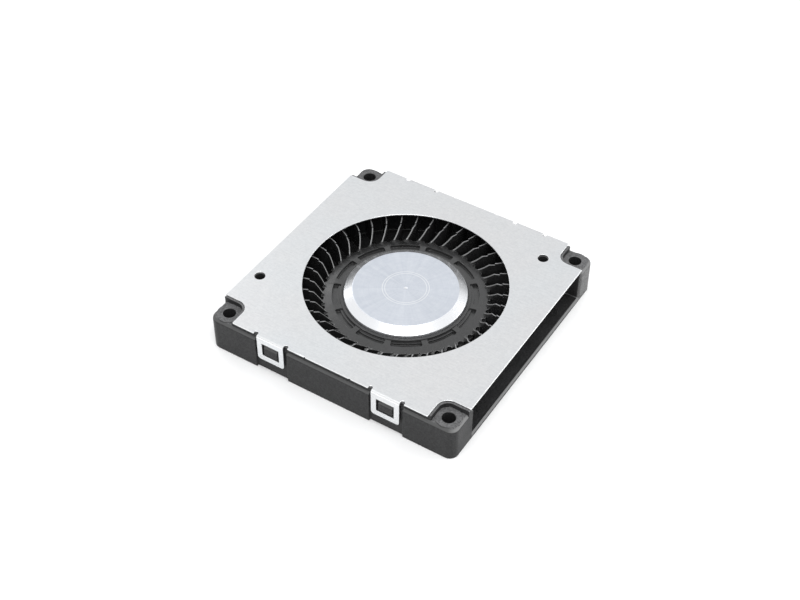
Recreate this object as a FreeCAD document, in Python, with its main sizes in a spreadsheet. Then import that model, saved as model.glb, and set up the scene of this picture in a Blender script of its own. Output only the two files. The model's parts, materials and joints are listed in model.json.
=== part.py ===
import FreeCAD, Part
import math
import os
import re
import Sketcher
from FreeCAD import Vector

# Centrifugal blower, 92 mm frame, 15 mm thick. Millimetres.
# Origin: middle of the casing's flat underside. +Z is the inlet side and the rotor's axis,
# +X is the outlet side, and the two clip sides face -Y and +Y.

doc = FreeCAD.newDocument("blower_fan")
sheet = doc.addObject("Spreadsheet::Sheet", "sizes")
parts = []

LEFT = 1
RIGHT = -1

SIZES = {
    # Frame
    "case_width": 92,
    "case_height": 15,
    "case_corner_radius": 3,
    "floor_thickness": 1.5,
    "sill_chamfer": 0.6,
    "rim_sink": 0.35,
    "cut_overrun": 1,
    # Mounting ears
    "hole_inset": 4.75,
    "hole_diameter": 4.3,
    "ear_drop": 2.2,
    "ear_edge_radius": 1.3,
    "ear_recess_width": 8.7,
    "ear_recess_radius": 3.2,
    "ear_ring_radius": 4.2,
    "ear_ring_rise": 0.15,
    "side_ledge": 0.85,
    # Volute and outlet
    "volute_wall": 5.7,
    "volute_step": 1.55,
    "tongue_angle": 44,
    "tongue_radius": 1.2,
    "outlet_near_margin": 12,
    "outlet_far_margin": 9.2,
    "outlet_depth": 4.5,
    "mouth_flare": 0.8,
    "mouth_corner": 2.5,
    "scroll_end_depth": 17,
    "scroll_ramp": 8.5,
    "scroll_edge_radius": 3,
    "ejector_mark_radius": 2.7,
    "ejector_mark_inset": 5.7,
    "ejector_mark_spacing": 52.6,
    "ejector_mark_depth": 0.3,
    # Sheet cover
    "cover_thickness": 0.5,
    "cover_overhang": 0.15,
    "cover_side_inset": 0.2,
    "cover_notch": 9.5,
    "cover_notch_radius": 4,
    "cover_clearance": 0.15,
    "inlet_lap": 4.6,
    "bend_radius": 0.9,
    "nick_spacing": 16.8,
    "nick_width": 0.6,
    "nick_depth": 0.25,
    # Clip tabs and their latches
    "tab_spacing": 43.2,
    "tab_width": 10.2,
    "tab_drop": 10,
    "tab_corner_radius": 1.1,
    "tab_stand_off": 0.3,
    "relief_width": 1.4,
    "relief_depth": 1.2,
    "window_width": 6.5,
    "window_height": 5.1,
    "window_sill": 2.1,
    "clip_recess_width": 12.1,
    "clip_recess_depth": 0.8,
    "latch_clearance": 0.6,
    "latch_stand_in": 0.1,
    "latch_lead_in": 1.1,
    "latch_root": 0.2,
    # Locating holes through the cover into the casing
    "left_hole_inset": 3.9,
    "left_hole_along": -23.4,
    "right_hole_inset": 13.5,
    "right_hole_side_inset": 11.4,
    "locating_hole_radius": 1.65,
    "locating_hole_depth": 8,
    "cover_hole_clearance": 0.15,
    # Lead groove in the underside
    "lead_groove_width": 4,
    "lead_groove_depth": 0.9,
    "lead_slot_inner": 13.4,
    "lead_slot_outer": 16.6,
    # Bearing seat
    "tube_radius": 5.2,
    "tube_seat_height": 1,
    "tube_top_margin": 0.2,
    "hub_boss_wall": 1.4,
    "hub_boss_height": 3.3,
    "cap_radius": 4.6,
    "cap_thickness": 0.8,
    "cap_chamfer": 0.2,
    "shoulder_radius": 3.4,
    # Ball bearings
    "shaft_radius": 1.5,
    "bearing_radius": 4,
    "bearing_width": 3,
    "lower_bearing_height": 4.1,
    "ball_radius": 0.6,
    "ball_pitch_radius": 2.75,
    "ball_count": 7,
    "race_clearance": 0.04,
    "race_land": 0.45,
    "shield_thickness": 0.2,
    "shield_inset": 0.15,
    "shield_clearance": 0.12,
    "cage_wall": 0.22,
    "cage_top": 0.95,
    "cage_rise": 0.25,
    "cage_pocket_clearance": 0.07,
    # Shaft, clip and spring
    "shaft_stub": 0.35,
    "shaft_chamfer": 0.2,
    "clip_groove_radius": 1.2,
    "clip_radius": 2.4,
    "clip_thickness": 0.35,
    "clip_gap": 1.6,
    "spring_wire_radius": 0.15,
    "spring_radius": 1.9,
    "spring_height": 1,
    "spring_turns": 2,
    # Rotor cup, boss and magnet
    "cup_radius": 20.6,
    "cup_wall": 0.8,
    "cup_top_height": 12.35,
    "cup_bevel_width": 2.95,
    "cup_bevel_drop": 1.75,
    "cup_bend_inset": 0.24,
    "cup_bend_drop": 0.48,
    "cup_rim_height": 3.2,
    "dimple_radius": 0.7,
    "dimple_depth": 0.25,
    "boss_radius": 4.4,
    "boss_thickness": 0.65,
    "magnet_thickness": 1.1,
    "magnet_bottom": 4,
    "magnet_length": 6,
    # Impeller
    "impeller_gap": 1.7,
    "impeller_bottom": 2.6,
    "backplate_thickness": 0.8,
    "backplate_margin": 0.8,
    "hub_lip_height": 9.75,
    "hub_lip_gap": 0.35,
    "hub_lip_wall": 0.85,
    "hub_lip_depth": 0.95,
    "hub_deck_height": 9.5,
    "hub_deck_width": 2.6,
    "hub_slope_width": 3.6,
    "hub_edge_height": 8.7,
    "hub_skirt_wall": 1.3,
    "hub_skirt_draft": 0.4,
    "hub_soffit_drop": 0.5,
    "hub_deck_thickness": 1.9,
    "pocket_count": 12,
    "pocket_span": 25,
    "pocket_phase": 2.6,
    "pocket_step_depth": 0.45,
    "pocket_depth": 1.1,
    "pocket_step_width": 0.85,
    "pocket_corner_radius": 0.6,
    "blade_count": 40,
    "blade_phase": 0.5,
    "blade_thickness": 0.45,
    "blade_root_lap": 1.1,
    "blade_centre_out": 35.98,
    "blade_centre_side": 12,
    "blade_curve_radius": 13.34,
    "blade_clearance": 1.6,
    "blade_step_out": 1.75,
    "blade_step_depth": 0.6,
    "blade_slope_width": 2.95,
    "blade_heel_lap": 0.7,
    "blade_heel_height": 9.4,
    "scallop_radius": 0.95,
    "scallop_inset": 0.1,
    "scallop_angle": -1.3,
    "scallop_floor": 7.4,
    # Stator
    "pole_count": 6,
    "core_bottom": 5.6,
    "core_thickness": 2.8,
    "air_gap": 0.5,
    "core_hub_wall": 2.4,
    "tooth_width": 3.2,
    "pole_face_depth": 1.6,
    "pole_face_span": 48,
    "insulator_thickness": 0.4,
    "insulator_clearance": 0.1,
    "insulator_ring_radius": 9.2,
    "insulator_overhang": 0.35,
    "flange_height": 1.1,
    "flange_wall": 0.6,
    "flange_setback": 0.5,
    "coil_clearance": 0.2,
    "coil_depth": 0.85,
    "coil_side": 1.2,
    # Circuit board and what it carries
    "board_margin": 2.6,
    "board_height": 2.5,
    "board_thickness": 0.8,
    "board_clearance": 0.3,
    "board_post_radius": 1.2,
    "board_post_inset": 1.8,
    "board_post_count": 3,
    "chip_length": 5,
    "chip_width": 4,
    "chip_height": 0.8,
    "chip_inset": 4.6,
    "sensor_length": 2.9,
    "sensor_width": 1.6,
    "sensor_height": 0.75,
    "sensor_inset": 1.3,
    "capacitor_length": 3.2,
    "capacitor_width": 1.6,
    "capacitor_height": 0.8,
    "capacitor_inset": 6,
    "resistor_length": 1.6,
    "resistor_width": 0.8,
    "resistor_height": 0.45,
    "resistor_inset": 2.2,
    "terminal_radius": 0.3,
    "terminal_count": 3,
    "terminal_phase": 30,
    "terminal_place": 8.3,
    "terminal_clearance": 0.05,
    "terminal_stick_out": 0.3,
}

for row, (name, number) in enumerate(SIZES.items(), start=1):
    sheet.set(f"A{row}", name)
    sheet.set(f"B{row}", str(number))
    sheet.setAlias(f"B{row}", name)
doc.recompute()

# Places worked out from the sizes above
HALF = "case_width / 2"
REACH = f"({HALF} + cut_overrun)"
EAR_TOP = "(case_height - ear_drop)"
VOLUTE = f"({HALF} - volute_wall)"
EAR_SIDE = f"({HALF} - ear_recess_width)"
OUTLET_NEAR = f"(outlet_near_margin - {HALF})"
OUTLET_FAR = f"({HALF} - outlet_far_margin)"
IMPELLER_EDGE = f"({VOLUTE} - impeller_gap)"
LEFT_HOLE = (f"(left_hole_inset - {HALF})", "left_hole_along")
RIGHT_HOLE = (f"({HALF} - right_hole_inset)", f"({HALF} - right_hole_side_inset)")
COVER_UNDERSIDE = "(case_height - cover_thickness)"
COVER_HALF_X = "(case_width / 2 + cover_overhang)"
COVER_HALF_Y = "(case_width / 2 - cover_side_inset)"
TAB_FACE = f"({HALF} + tab_stand_off)"
TAB_BOTTOM = "(case_height - tab_drop)"
WINDOW_BOTTOM = f"({TAB_BOTTOM} + window_sill)"
RECESS_FLOOR = f"({HALF} - clip_recess_depth)"
LOWER_BEARING = "lower_bearing_height"
LOWER_BEARING_BOTTOM = f"({LOWER_BEARING} - bearing_width / 2)"
CUP_INSIDE_TOP = "(cup_top_height - cup_wall)"
BOSS_BOTTOM = f"({CUP_INSIDE_TOP} - boss_thickness)"
UPPER_BEARING_TOP = f"({BOSS_BOTTOM} - spring_height)"
UPPER_BEARING = f"({UPPER_BEARING_TOP} - bearing_width / 2)"
INNER_LAND = "(ball_pitch_radius - race_land)"
OUTER_LAND = "(ball_pitch_radius + race_land)"
CUP_BORE = "(cup_radius - cup_wall)"
CORE_EDGE = f"({CUP_BORE} - magnet_thickness - air_gap)"
CORE_TOP = "(core_bottom + core_thickness)"
BOARD_TOP = "(board_height + board_thickness)"
BOARD_EDGE = f"({CUP_BORE} - board_margin)"
HUB_BORE = "(cup_radius + hub_lip_gap)"
HUB_LIP_OUTER = f"({HUB_BORE} + hub_lip_wall)"
HUB_DECK_EDGE = f"({HUB_LIP_OUTER} + hub_deck_width)"
HUB_EDGE = f"({HUB_DECK_EDGE} + hub_slope_width)"
BLADE_ROOT = f"({HUB_EDGE} - blade_root_lap)"
BLADE_HEEL = f"({HUB_EDGE} - blade_heel_lap)"
BLADE_KNEE = f"({BLADE_HEEL} + blade_slope_width)"
BLADE_STEP = f"({BLADE_KNEE} + blade_step_out)"
BLADE_TOP = f"({COVER_UNDERSIDE} - blade_clearance)"
TERMINAL = ("terminal_place * cos(terminal_phase * 1deg)",
            "terminal_place * sin(terminal_phase * 1deg)")
CORNERS = "4"
NEAR_ENOUGH = 0.2


def linked(formula):
    """Turn the size names in a formula into references to the sheet."""
    return re.sub(r"\b[a-z]+(_[a-z]+)+\b", r"sizes.\g<0>", formula)


def value(formula):
    """Give a formula's present value."""
    result = sheet.evalExpression(linked(formula))
    return float(getattr(result, "Value", result))


def bind(thing, prop, formula):
    """Bind a property to a formula of the sheet's sizes."""
    thing.setExpression(prop, linked(formula))


def new_body(name):
    """Start a sub-part's body, named as its file will be."""
    body = doc.addObject("PartDesign::Body", name)
    body.Label = name
    body.AllowCompound = True
    parts.append(body)
    return body


def origin_feature(body, role):
    return next(item for item in body.Origin.OriginFeatures if item.Role == role)


def sketch_on(body, role, offset=None):
    """Start a sketch on one of the body's own origin planes, moved along its normal."""
    sketch = body.newObject("Sketcher::SketchObject", f"{body.Name}_sketch")
    sketch.AttachmentSupport = (origin_feature(body, role), [""])
    sketch.MapMode = "FlatFace"
    if offset:
        bind(sketch, "AttachmentOffset.Base.z", offset)
    return sketch


def fix(sketch, kind, where, formula):
    """Add a dimension to a sketch and bind it."""
    index = sketch.addConstraint(Sketcher.Constraint(kind, *where, value(formula)))
    bind(sketch, f"Constraints[{index}]", formula)


def fix_point(sketch, geometry, vertex, corner):
    fix(sketch, "DistanceX", (-1, 1, geometry, vertex), corner[0])
    fix(sketch, "DistanceY", (-1, 1, geometry, vertex), corner[1])


def arc_between(start, stop, radius, turn):
    """Give the arc of under half a circle from start to stop that turns left or right."""
    chord = stop - start
    left = Vector(-chord.y, chord.x, 0).normalize()
    reach = math.sqrt(max(radius ** 2 - (chord.Length / 2) ** 2, 0))
    centre = (start + stop) * 0.5 + left * (turn * reach)
    first, last = (start, stop) if turn == LEFT else (stop, start)
    angles = [math.atan2(point.y - centre.y, point.x - centre.x) for point in (first, last)]
    if angles[1] < angles[0]:
        angles[1] += 2 * math.pi
    return Part.ArcOfCircle(Part.Circle(centre, Vector(0, 0, 1), radius), *angles)


def outline(sketch, corners, arcs=None):
    """Close a chain of sides through the corners; arcs maps a side to its turn and radius."""
    arcs = arcs or {}
    points = [Vector(value(x), value(y), 0) for x, y in corners]
    sides = []
    for number, start in enumerate(points):
        stop = points[(number + 1) % len(points)]
        turn, radius = arcs.get(number, (LEFT, None))
        if radius:
            index = sketch.addGeometry(arc_between(start, stop, value(radius), turn), False)
        else:
            index = sketch.addGeometry(Part.LineSegment(start, stop), False)
        sides.append((index, 1, 2) if turn == LEFT else (index, 2, 1))
    for number, (index, _, last) in enumerate(sides):
        following, first, _ = sides[(number + 1) % len(sides)]
        sketch.addConstraint(Sketcher.Constraint("Coincident", index, last, following, first))
    for (index, first, _), corner in zip(sides, corners):
        fix_point(sketch, index, first, corner)
    for number, (_, radius) in arcs.items():
        fix(sketch, "Radius", (sides[number][0],), radius)


def rectangle(sketch, left, right, bottom, top):
    outline(sketch, [(left, bottom), (right, bottom), (right, top), (left, top)])


def rounded_rectangle(sketch, left, right, bottom, top, radius):
    corners = [
        (f"{left} + {radius}", bottom),
        (f"{right} - {radius}", bottom),
        (right, f"{bottom} + {radius}"),
        (right, f"{top} - {radius}"),
        (f"{right} - {radius}", top),
        (f"{left} + {radius}", top),
        (left, f"{top} - {radius}"),
        (left, f"{bottom} + {radius}"),
    ]
    outline(sketch, corners, {side: (LEFT, radius) for side in (1, 3, 5, 7)})


def circle(sketch, radius, x="0", y="0"):
    shape = Part.Circle(Vector(value(x), value(y), 0), Vector(0, 0, 1), value(radius))
    index = sketch.addGeometry(shape, False)
    fix_point(sketch, index, 3, (x, y))
    fix(sketch, "Radius", (index,), radius)


def rounded_sector(sketch, inner, outer, span, middle, radius):
    """Draw a ring's sector with rounded corners about the middle angle, in degrees."""
    def on_side(place, side):
        angle = f"(({middle} + {side} * {span} / 2) * 1deg)"
        return (f"({place}) * cos({angle})", f"({place}) * sin({angle})")

    def on_arc(place, side):
        angle = f"(({middle} + {side} * {span} / 2) * 1deg - {side} * {radius} / {place} * 1rad)"
        return (f"{place} * cos({angle})", f"{place} * sin({angle})")

    corners = [
        on_side(f"{inner} + {radius}", -1),
        on_side(f"{outer} - {radius}", -1),
        on_arc(outer, -1),
        on_arc(outer, 1),
        on_side(f"{outer} - {radius}", 1),
        on_side(f"{inner} + {radius}", 1),
        on_arc(inner, 1),
        on_arc(inner, -1),
    ]
    arcs = {side: (LEFT, radius) for side in (1, 3, 5, 7)}
    outline(sketch, corners, {**arcs, 2: (LEFT, outer), 6: (RIGHT, inner)})


def pad(body, sketch, length, midplane=False):
    feature = body.newObject("PartDesign::Pad", f"{body.Name}_pad")
    feature.Profile = sketch
    feature.Midplane = midplane
    bind(feature, "Length", length)
    return feature


def pocket(body, sketch, depth, upward=False):
    """Cut down from the sketch, or upward from it."""
    feature = body.newObject("PartDesign::Pocket", f"{body.Name}_pocket")
    feature.Profile = sketch
    feature.Reversed = upward
    bind(feature, "Length", depth)
    return feature


def revolve(body, sketch, kind="Revolution"):
    feature = body.newObject(f"PartDesign::{kind}", f"{body.Name}_turn")
    feature.Profile = sketch
    feature.ReferenceAxis = (sketch, ["V_Axis"])
    feature.Angle = 360
    return feature


def around(body, features, count):
    """Repeat features about the body's Z axis."""
    pattern = body.newObject("PartDesign::PolarPattern", f"{body.Name}_ring")
    pattern.Originals = features
    pattern.Axis = (origin_feature(body, "Z_Axis"), [""])
    pattern.Angle = 360
    bind(pattern, "Occurrences", count)
    body.Tip = pattern
    return pattern


def mirrored(body, features, role):
    """Mirror features across one of the body's origin planes."""
    mirror = body.newObject("PartDesign::Mirrored", f"{body.Name}_mirror")
    mirror.Originals = features
    mirror.MirrorPlane = (origin_feature(body, role), [""])
    body.Tip = mirror
    return mirror


def edges_where(shape, test):
    """Name the edges whose middle point passes the test."""
    found = []
    for number, edge in enumerate(shape.Edges, 1):
        middle = edge.valueAt((edge.FirstParameter + edge.LastParameter) / 2)
        if test(edge, middle):
            found.append(f"Edge{number}")
    return found


def upright(edge):
    return abs(edge.tangentAt(edge.FirstParameter).z) > 0.999


def near(middle, x, y):
    return math.hypot(abs(middle.x) - value(x), abs(middle.y) - value(y)) < NEAR_ENOUGH


def dress(body, base, kind, edges, prop, formula):
    """Fillet or chamfer the named edges of a feature."""
    feature = body.newObject(f"PartDesign::{kind}", f"{body.Name}_{kind.lower()}")
    feature.Base = (base, edges)
    bind(feature, prop, formula)
    return feature


def turned(name, corners, arcs=None):
    """Make a sub-part by turning a half section, given as radius and height."""
    body = new_body(name)
    profile = sketch_on(body, "XZ_Plane")
    outline(profile, corners, arcs)
    revolve(body, profile)
    return body


def section(inner, outer, bottom, top):
    return [(inner, bottom), (outer, bottom), (outer, top), (inner, top)]


def make_base_housing():
    """Moulded casing: floor, volute wall, ears, latches, locating holes and lead groove."""
    body = new_body("base_housing")
    plan = sketch_on(body, "XY_Plane")
    rectangle(plan, f"-{HALF}", HALF, f"-{HALF}", HALF)
    block = pad(body, plan, EAR_TOP)
    doc.recompute()
    corners = edges_where(block.Shape, lambda e, m: upright(e))
    rounded = dress(body, block, "Fillet", corners, "Radius", "case_corner_radius")
    doc.recompute()
    brim = edges_where(rounded.Shape, lambda e, m: abs(m.z - value(EAR_TOP)) < 0.01)
    dress(body, rounded, "Fillet", brim, "Radius", "ear_edge_radius")
    raise_middle(body)
    cut_cover_seat(body)
    make_ears(body)
    cut_scroll(body)
    cut_clip_recesses(body)
    add_hub_boss(body)
    cut_locating_holes(body)
    cut_underside(body)
    return body


def raise_middle(body):
    """Raise the middle nearly to full height between the four ears and the two side ledges."""
    plan = sketch_on(body, "XY_Plane")
    start = f"({EAR_SIDE} + ear_recess_radius)"
    quarter = [(HALF, EAR_SIDE), (start, EAR_SIDE), (EAR_SIDE, start),
               (EAR_SIDE, f"({HALF} - side_ledge)")]
    corners = quarter + [(f"-{x}", y) for x, y in reversed(quarter)]
    corners += [(f"-{x}", f"-{y}") for x, y in quarter]
    corners += [(x, f"-{y}") for x, y in reversed(quarter)]
    outline(plan, corners, {side: (RIGHT, "ear_recess_radius") for side in (1, 5, 9, 13)})
    pad(body, plan, "case_height - rim_sink")


def cut_cover_seat(body):
    """Sink the top by the sheet's thickness, inside a rim that stands round each ear."""
    seat = sketch_on(body, "XY_Plane", "case_height")
    edge = f"({HALF} - cover_notch + cover_clearance)"
    quarter = [(REACH, edge), (edge, edge), (edge, REACH)]
    corners = quarter + [(f"-{x}", y) for x, y in reversed(quarter)]
    corners += [(f"-{x}", f"-{y}") for x, y in quarter]
    corners += [(x, f"-{y}") for x, y in reversed(quarter)]
    outline(seat, corners)
    floor = pocket(body, seat, "cover_thickness")
    doc.recompute()
    inner = edges_where(floor.Shape, lambda e, m: upright(e) and near(m, edge, edge))
    dress(body, floor, "Fillet", inner, "Radius", "cover_notch_radius - cover_clearance")


def make_ears(body):
    """Stand a low ring on each ear and bore it through."""
    place = f"{HALF} - hole_inset"
    ring = sketch_on(body, "XY_Plane")
    circle(ring, "ear_ring_radius", place, place)
    around(body, [pad(body, ring, f"{EAR_TOP} + ear_ring_rise")], CORNERS)
    bore = sketch_on(body, "XY_Plane", "case_height")
    circle(bore, "hole_diameter / 2", place, place)
    around(body, [pocket(body, bore, "case_height")], CORNERS)


def cut_scroll(body):
    """Cut the volute of three tangent arcs that runs out into the flared, full-width outlet."""
    plan = sketch_on(body, "XY_Plane", "case_height")
    shift = "volute_step / 2"
    start = (f"{VOLUTE} * cos(tongue_angle * 1deg) - {shift}",
             f"{VOLUTE} * sin(tongue_angle * 1deg) + {shift}")
    back = (f"-{shift}", f"{VOLUTE} + {shift}")
    left = (f"-{VOLUTE} - 1.5 * volute_step", f"-{shift}")
    front_y = f"-{VOLUTE} - 2.5 * volute_step"
    end = f"({HALF} - scroll_end_depth)"
    corners = [
        start,
        back,
        left,
        (shift, front_y),
        (end, front_y),
        (f"{end} + scroll_ramp", OUTLET_NEAR),
        (f"{HALF} - mouth_flare", OUTLET_NEAR),
        (REACH, f"{OUTLET_NEAR} - mouth_flare - cut_overrun"),
        (REACH, f"{OUTLET_FAR} + mouth_flare + cut_overrun"),
        (f"{HALF} - mouth_flare", OUTLET_FAR),
        (f"{HALF} - outlet_depth", OUTLET_FAR),
    ]
    arcs = {
        0: (LEFT, VOLUTE),
        1: (LEFT, f"{VOLUTE} + volute_step"),
        2: (LEFT, f"{VOLUTE} + 2 * volute_step"),
    }
    outline(plan, corners, arcs)
    cavity = pocket(body, plan, "case_height - floor_thickness")
    doc.recompute()
    rounded = dress(
        body, cavity, "Fillet",
        edges_where(cavity.Shape, lambda e, m: upright(e) and near(m, start[0], start[1])),
        "Radius", "tongue_radius",
    )
    doc.recompute()
    soft = [(corners[number][0], corners[number][1]) for number in (4, 5, 10)]
    found = edges_where(
        rounded.Shape,
        lambda e, m: upright(e) and any(
            math.hypot(m.x - value(x), m.y - value(y)) < NEAR_ENOUGH for x, y in soft),
    )
    eased = dress(body, rounded, "Fillet", found, "Radius", "scroll_edge_radius")
    doc.recompute()
    lip = edges_where(
        eased.Shape,
        lambda e, m: abs(m.x - value(HALF)) < 0.01 and abs(m.z - value("floor_thickness")) < 0.01,
    )
    dress(body, eased, "Chamfer", lip, "Size", "sill_chamfer")
    bevel = sketch_on(body, "YZ_Plane", HALF)
    low = f"{COVER_UNDERSIDE} - mouth_corner - cut_overrun"
    high = f"{COVER_UNDERSIDE} + cut_overrun"
    inside = f"{OUTLET_NEAR} + cut_overrun"
    outline(bevel, [(f"{OUTLET_NEAR} - mouth_corner - cut_overrun", high), (inside, low),
                    (inside, high)])
    pocket(body, bevel, "outlet_depth")
    marks = sketch_on(body, "XY_Plane", "floor_thickness")
    for side in ("-", ""):
        circle(marks, "ejector_mark_radius", f"{HALF} - ejector_mark_inset",
               f"{side}ejector_mark_spacing / 2")
    pocket(body, marks, "ejector_mark_depth")


def cut_clip_recesses(body):
    """Sink the two clip sides behind each tab and stand a wedge latch in each recess."""
    recess = sketch_on(body, "XY_Plane")
    for side in ("-", ""):
        middle = f"{side}tab_spacing / 2"
        rectangle(recess, f"{middle} - clip_recess_width / 2", f"{middle} + clip_recess_width / 2",
                  f"-{REACH}", f"-{RECESS_FLOOR}")
    mirrored(body, [pocket(body, recess, "case_height", upward=True)], "XZ_Plane")
    top = f"({WINDOW_BOTTOM} + window_height - latch_clearance)"
    latches = []
    for side in ("-", ""):
        wedge = sketch_on(body, "YZ_Plane", f"{side}tab_spacing / 2")
        face = f"-({TAB_FACE} - latch_stand_in)"
        outline(wedge, [
            (f"-{RECESS_FLOOR} + latch_root", top),
            (f"-{RECESS_FLOOR}", top),
            (face, f"{top} - latch_lead_in"),
            (face, f"{WINDOW_BOTTOM} + latch_clearance / 2"),
            (f"-{RECESS_FLOOR} + latch_root", f"{WINDOW_BOTTOM} + latch_clearance / 2"),
        ])
        latches.append(pad(body, wedge, "window_width - 2 * latch_clearance", midplane=True))
    mirrored(body, latches, "XZ_Plane")


def add_hub_boss(body):
    """Stand the bearing tube's boss and the three board posts on the floor, and bore the seat."""
    ring = sketch_on(body, "XY_Plane")
    circle(ring, "tube_radius + hub_boss_wall")
    pad(body, ring, "hub_boss_height")
    post = sketch_on(body, "XY_Plane")
    circle(post, "board_post_radius", "0", f"{BOARD_EDGE} - board_post_inset")
    around(body, [pad(body, post, "board_height")], "board_post_count")
    seat = sketch_on(body, "XY_Plane", "hub_boss_height")
    circle(seat, "tube_radius")
    pocket(body, seat, "hub_boss_height - tube_seat_height")
    through = sketch_on(body, "XY_Plane", "hub_boss_height")
    circle(through, "cap_radius")
    pocket(body, through, "hub_boss_height")


def cut_locating_holes(body):
    """Sink the two blind holes that lie under the cover's."""
    holes = sketch_on(body, "XY_Plane", COVER_UNDERSIDE)
    circle(holes, "locating_hole_radius", *LEFT_HOLE)
    circle(holes, "locating_hole_radius", *RIGHT_HOLE)
    pocket(body, holes, "locating_hole_depth")


def cut_underside(body):
    """Cut the lead groove from the board to the side opposite the outlet."""
    groove = sketch_on(body, "XY_Plane")
    rectangle(groove, f"-{REACH}", "-lead_slot_inner",
              "-lead_groove_width / 2", "lead_groove_width / 2")
    pocket(body, groove, "lead_groove_depth", upward=True)
    slot = sketch_on(body, "XY_Plane")
    rectangle(slot, "-lead_slot_outer", "-lead_slot_inner",
              "-lead_groove_width / 2", "lead_groove_width / 2")
    pocket(body, slot, "floor_thickness", upward=True)


def make_top_cover():
    """Pressed sheet cover: corner notches, inlet, and four windowed clip tabs bent down."""
    body = new_body("top_cover")
    plan = sketch_on(body, "XY_Plane", COVER_UNDERSIDE)
    inner = f"({HALF} - cover_notch)"
    quarter = [(COVER_HALF_X, inner), (inner, inner), (inner, COVER_HALF_Y)]
    corners = quarter + [(f"-{x}", y) for x, y in reversed(quarter)]
    corners += [(f"-{x}", f"-{y}") for x, y in quarter]
    corners += [(x, f"-{y}") for x, y in reversed(quarter)]
    outline(plan, corners)
    sheet_pad = pad(body, plan, "cover_thickness")
    doc.recompute()
    notches = edges_where(sheet_pad.Shape, lambda e, m: upright(e) and near(m, inner, inner))
    dress(body, sheet_pad, "Fillet", notches, "Radius", "cover_notch_radius")
    openings = sketch_on(body, "XY_Plane", "case_height")
    circle(openings, f"{IMPELLER_EDGE} - inlet_lap")
    circle(openings, "locating_hole_radius + cover_hole_clearance", *LEFT_HOLE)
    circle(openings, "locating_hole_radius + cover_hole_clearance", *RIGHT_HOLE)
    pocket(body, openings, "cover_thickness")
    add_tabs(body)
    cut_reliefs(body)
    shape_tabs(body)
    return body


def add_tabs(body):
    """Stand a tab down over each latch."""
    inside = f"({TAB_FACE} - cover_thickness)"
    tabs = sketch_on(body, "XY_Plane", TAB_BOTTOM)
    lands = sketch_on(body, "XY_Plane", COVER_UNDERSIDE)
    for side in ("-", ""):
        left = f"{side}tab_spacing / 2 - tab_width / 2"
        right = f"{side}tab_spacing / 2 + tab_width / 2"
        rectangle(tabs, left, right, f"-{TAB_FACE}", f"-{inside}")
        rectangle(lands, left, right, f"-{TAB_FACE}", f"-{inside} + cut_overrun")
    plates = pad(body, tabs, "tab_drop")
    bridges = pad(body, lands, "cover_thickness")
    mirrored(body, [plates, bridges], "XZ_Plane")


def shape_tabs(body):
    """Round each bend and toe, and cut the windows."""
    doc.recompute()
    bend = edges_where(
        body.Tip.Shape,
        lambda e, m: abs(m.z - value("case_height")) < 0.01 and abs(abs(m.y) - value(TAB_FACE)) < 0.01,
    )
    bent = dress(body, body.Tip, "Fillet", bend, "Radius", "bend_radius")
    doc.recompute()
    toes = edges_where(
        bent.Shape,
        lambda e, m: abs(m.z - value(TAB_BOTTOM)) < 0.01 and abs(e.tangentAt(e.FirstParameter).y) > 0.999,
    )
    dress(body, bent, "Fillet", toes, "Radius", "tab_corner_radius")
    windows = sketch_on(body, "XZ_Plane", TAB_FACE)
    for side in ("-", ""):
        middle = f"{side}tab_spacing / 2"
        rectangle(windows, f"{middle} - window_width / 2", f"{middle} + window_width / 2",
                  WINDOW_BOTTOM, f"{WINDOW_BOTTOM} + window_height")
    mirrored(body, [pocket(body, windows, "cover_thickness")], "XZ_Plane")


def cut_reliefs(body):
    """Cut the round-ended bend reliefs beside each tab and the small nicks in the clip edges."""
    cuts = sketch_on(body, "XY_Plane", "case_height")
    depth = f"({COVER_HALF_Y} - relief_depth + relief_width / 2)"
    for tab_side in ("-", ""):
        for edge_side in ("-", "+"):
            middle = (f"({tab_side}tab_spacing / 2 {edge_side} "
                      "(tab_width / 2 + relief_width / 2))")
            rectangle(cuts, f"{middle} - relief_width / 2", f"{middle} + relief_width / 2",
                      f"-{REACH}", f"-{depth}")
    slots = pocket(body, cuts, "cover_thickness")
    ends = sketch_on(body, "XY_Plane", "case_height")
    for tab_side in ("-", ""):
        for edge_side in ("-", "+"):
            middle = (f"({tab_side}tab_spacing / 2 {edge_side} "
                      "(tab_width / 2 + relief_width / 2))")
            circle(ends, "relief_width / 2", middle, f"-{depth}")
    rounds = pocket(body, ends, "cover_thickness")
    nicks = sketch_on(body, "XY_Plane", "case_height")
    for side in ("-", ""):
        middle = f"{side}nick_spacing / 2"
        rectangle(nicks, f"{middle} - nick_width / 2", f"{middle} + nick_width / 2",
                  f"-{REACH}", f"-({COVER_HALF_Y} - nick_depth)")
    notched = pocket(body, nicks, "cover_thickness")
    mirrored(body, [slots, rounds, notched], "XZ_Plane")


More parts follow.
